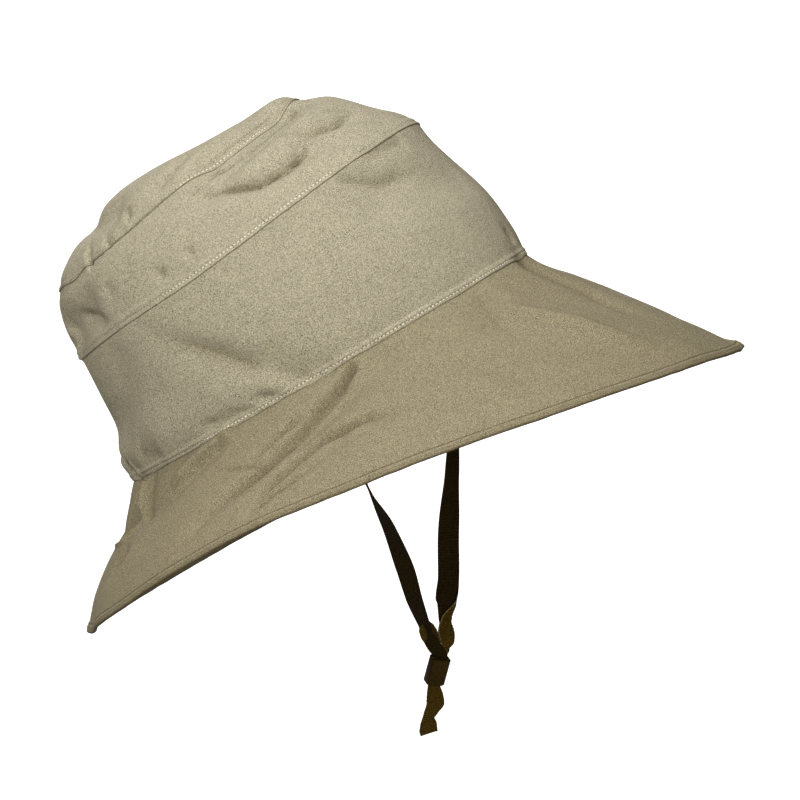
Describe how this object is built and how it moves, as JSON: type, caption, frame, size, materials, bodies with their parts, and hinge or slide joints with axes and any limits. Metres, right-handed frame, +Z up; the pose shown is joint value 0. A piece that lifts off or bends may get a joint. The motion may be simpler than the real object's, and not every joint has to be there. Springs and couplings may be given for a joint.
{
  "type": "rain hat",
  "caption": "Soft wide-brimmed rain hat with a sewn panel crown, a sloping brim with a stitched hem, and a ribbon chin strap with a barrel slider.",
  "frame": {"origin": "middle of the head opening, in the plane where crown and brim are sewn together; the hat is pitched back, front up, as it is held", "axes": "+X towards the hat's front, +Y towards the wearer's left, +Z up, with the chin strap hanging down"},
  "size_m": [0.3122, 0.2936, 0.2901],
  "materials": {
    "crown_cloth": "matt coated weave",
    "brim_cloth": "matt coated weave",
    "ribbon": "ribbed ribbon",
    "slider_plastic": "satin"
  },
  "bodies": {
    "root": {"crown_tip": "crown_cloth", "upper_crown_band": "crown_cloth", "lower_crown_band": "crown_cloth", "brim": "brim_cloth", "brim_hem": "brim_cloth", "strap_right": "ribbon", "strap_left": "ribbon", "strap_tail": "ribbon", "strap_slider": "slider_plastic"}
  },
  "joints": []
}
